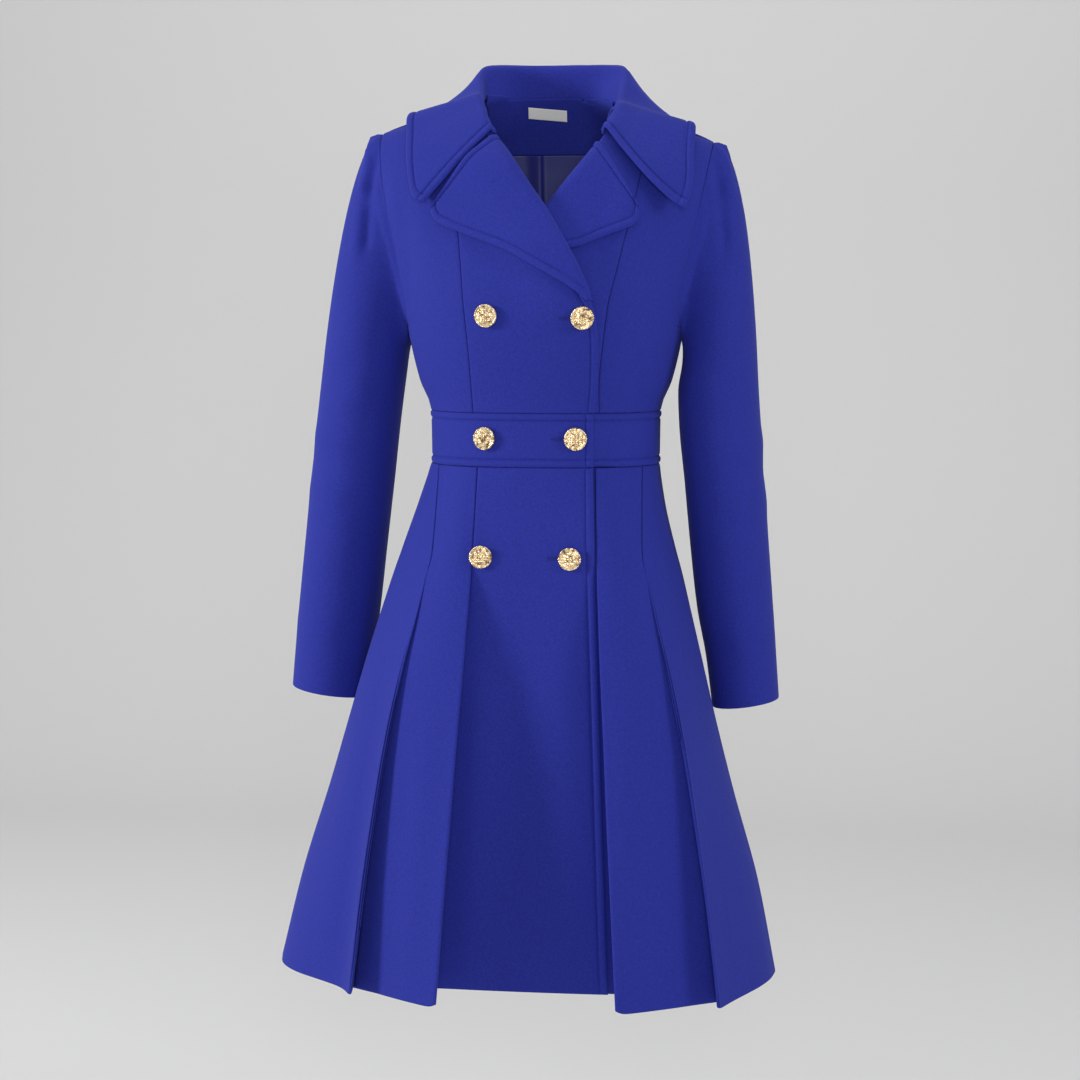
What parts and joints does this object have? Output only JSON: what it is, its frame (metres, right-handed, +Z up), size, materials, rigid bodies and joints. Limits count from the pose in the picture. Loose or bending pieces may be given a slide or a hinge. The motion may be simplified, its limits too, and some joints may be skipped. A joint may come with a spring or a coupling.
{
  "type": "coat",
  "caption": "Flared double-breasted coat with long sleeves, wide collar and lapels, waistband, pleated skirt and domed metal buttons, filled out with no wearer.",
  "frame": {"origin": "the middle of the neck at the height of the shoulders, where a hanger or a stand would hold the coat", "axes": "X runs to the viewer's right of the front, which is the wearer's left; Y runs to the back; Z runs up along the height of the coat"},
  "size_m": [0.568, 0.351, 1.0173],
  "materials": {
    "coating": "matte royal blue coating with a short soft nap",
    "lining_cloth": "smooth blue lining",
    "label_cloth": "plain white woven label",
    "gold_metal": "polished gold-coloured metal"
  },
  "bodies": {
    "root": {"back_lining": "lining_cloth", "back_neck_facing": "coating", "bodice_centre_back": "coating", "bodice_centre_front_left": "coating", "bodice_centre_front_right": "coating", "bodice_side_back_left": "coating", "bodice_side_back_right": "coating", "bodice_side_front_left": "coating", "bodice_side_front_right": "coating", "button_left_bottom": "gold_metal", "button_left_middle": "gold_metal", "button_left_top": "gold_metal", "button_right_bottom": "gold_metal", "button_right_middle": "gold_metal", "button_right_top": "gold_metal", "collar": "coating", "lapel_left": "coating", "lapel_right": "coating", "neck_label": "label_cloth", "skirt_centre_back": "coating", "skirt_centre_front_left": "coating", "skirt_centre_front_right": "coating", "skirt_pleat_back_left": "coating", "skirt_pleat_back_right": "coating", "skirt_pleat_front_left": "coating", "skirt_pleat_front_right": "coating", "skirt_side_back_left": "coating", "skirt_side_back_right": "coating", "skirt_side_front_left": "coating", "skirt_side_front_right": "coating", "sleeve_left": "coating", "sleeve_right": "coating", "waistband_back": "coating", "waistband_left": "coating", "waistband_right": "coating"}
  },
  "joints": []
}
